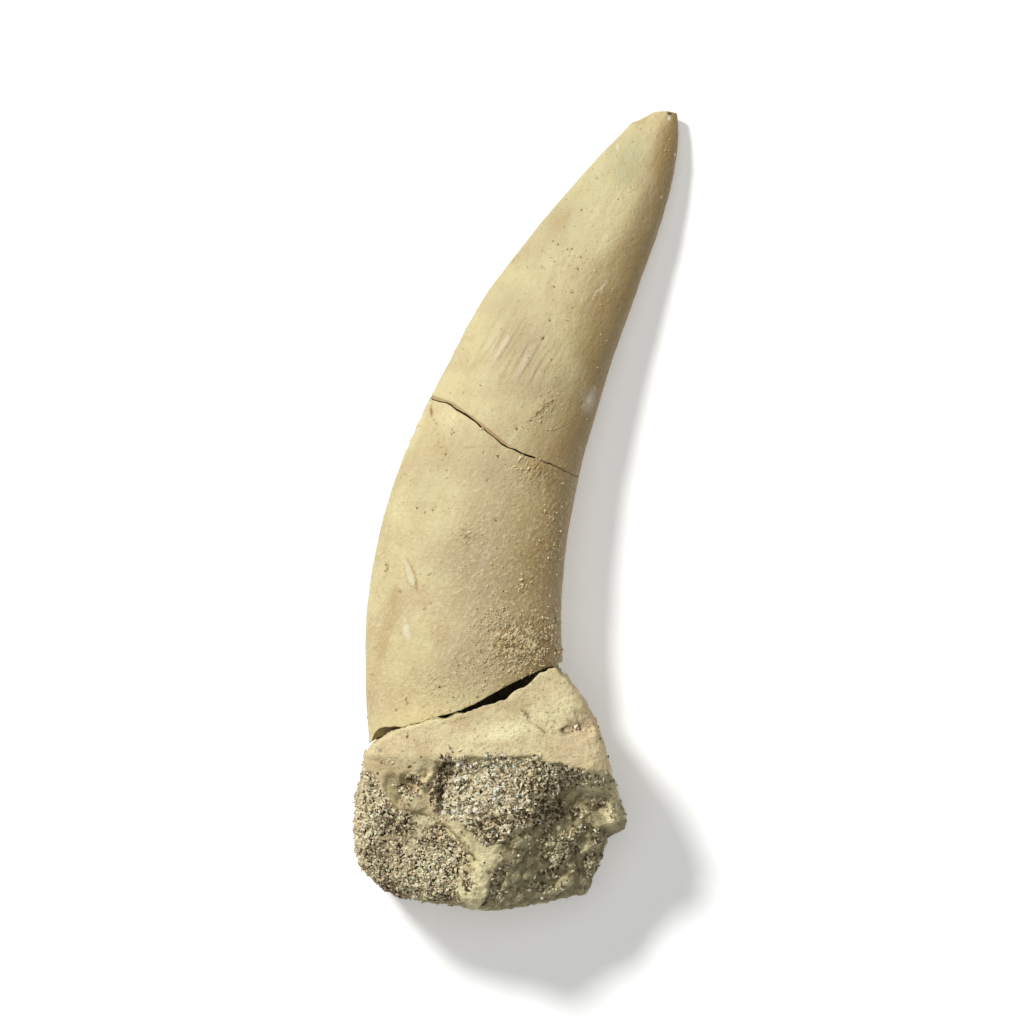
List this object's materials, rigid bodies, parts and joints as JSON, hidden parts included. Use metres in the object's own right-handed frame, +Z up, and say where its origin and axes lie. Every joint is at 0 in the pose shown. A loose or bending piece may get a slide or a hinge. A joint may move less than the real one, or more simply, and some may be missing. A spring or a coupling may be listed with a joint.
{
  "type": "fossil fish tooth",
  "caption": "Curved fossil fish tooth with a cracked pointed crown on a piece of jaw bone with sandy rock stuck to it, for display, study or a scene dressing.",
  "frame": {"origin": "on the surface that the tooth lies on, below the middle of its bounding box", "axes": "+Y from the jaw bone towards the tip, +X towards the hollow side of the curve, +Z up from the surface that it lies on"},
  "size_m": [0.0247, 0.0601, 0.0129],
  "materials": {
    "tooth": "silky fossil enamel and dentine, cream to tan, browner along the right side",
    "bone": "matt porous fossil bone, cream to olive brown",
    "sand": "rough cemented sand of cream, pink and grey grains"
  },
  "bodies": {
    "root": {"tooth_tip": "tooth", "tooth_shaft": "tooth", "jaw_bone": "bone", "sand_foot": "sand", "sand_patch": "sand"}
  },
  "joints": []
}
